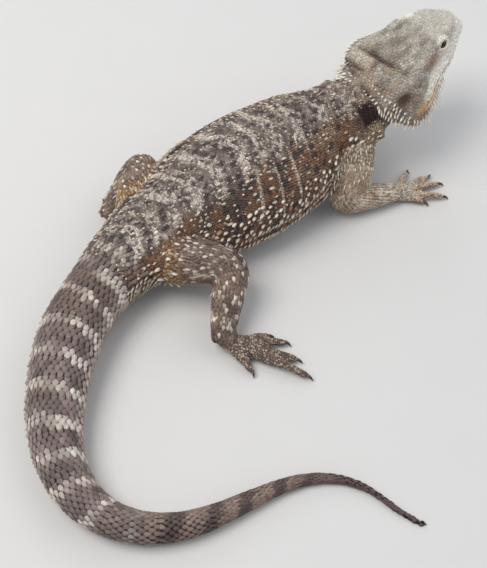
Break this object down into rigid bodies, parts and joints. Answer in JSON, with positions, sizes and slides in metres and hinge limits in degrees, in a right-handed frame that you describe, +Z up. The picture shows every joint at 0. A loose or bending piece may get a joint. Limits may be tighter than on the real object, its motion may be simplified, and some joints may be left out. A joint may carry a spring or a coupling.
{
  "type": "bearded dragon",
  "caption": "Life-size still model of an adult bearded dragon lying low on its belly, head raised, legs bent, long tail swept round to its right.",
  "frame": {"origin": "middle of the footprint's bounding box, on the floor the animal lies on", "axes": "+X along the trunk towards the head, +Y to the animal's left, +Z up"},
  "size_m": [0.276, 0.228, 0.0646],
  "materials": {
    "hide": "matte",
    "claw": "satin",
    "eye": "gloss",
    "ear": "satin"
  },
  "bodies": {
    "root": {"belly": "hide", "chest": "hide", "claw_foot_left_1": "claw", "claw_foot_left_2": "claw", "claw_foot_left_3": "claw", "claw_foot_left_4": "claw", "claw_foot_left_5": "claw", "claw_foot_right_1": "claw", "claw_foot_right_2": "claw", "claw_foot_right_3": "claw", "claw_foot_right_4": "claw", "claw_foot_right_5": "claw", "claw_hand_left_1": "claw", "claw_hand_left_2": "claw", "claw_hand_left_3": "claw", "claw_hand_left_4": "claw", "claw_hand_left_5": "claw", "claw_hand_right_1": "claw", "claw_hand_right_2": "claw", "claw_hand_right_3": "claw", "claw_hand_right_4": "claw", "claw_hand_right_5": "claw", "ear_left": "ear", "ear_right": "ear", "eye_left": "eye", "eye_right": "eye", "foot_left": "hide", "foot_right": "hide", "forearm_left": "hide", "forearm_right": "hide", "hand_left": "hide", "hand_right": "hide", "head": "hide", "jaw": "hide", "neck": "hide", "pelvis": "hide", "shin_left": "hide", "shin_right": "hide", "tail_1": "hide", "tail_2": "hide", "tail_3": "hide", "tail_4": "hide", "tail_5": "hide", "tail_6": "hide", "thigh_left": "hide", "thigh_right": "hide", "upper_arm_left": "hide", "upper_arm_right": "hide"}
  },
  "joints": []
}
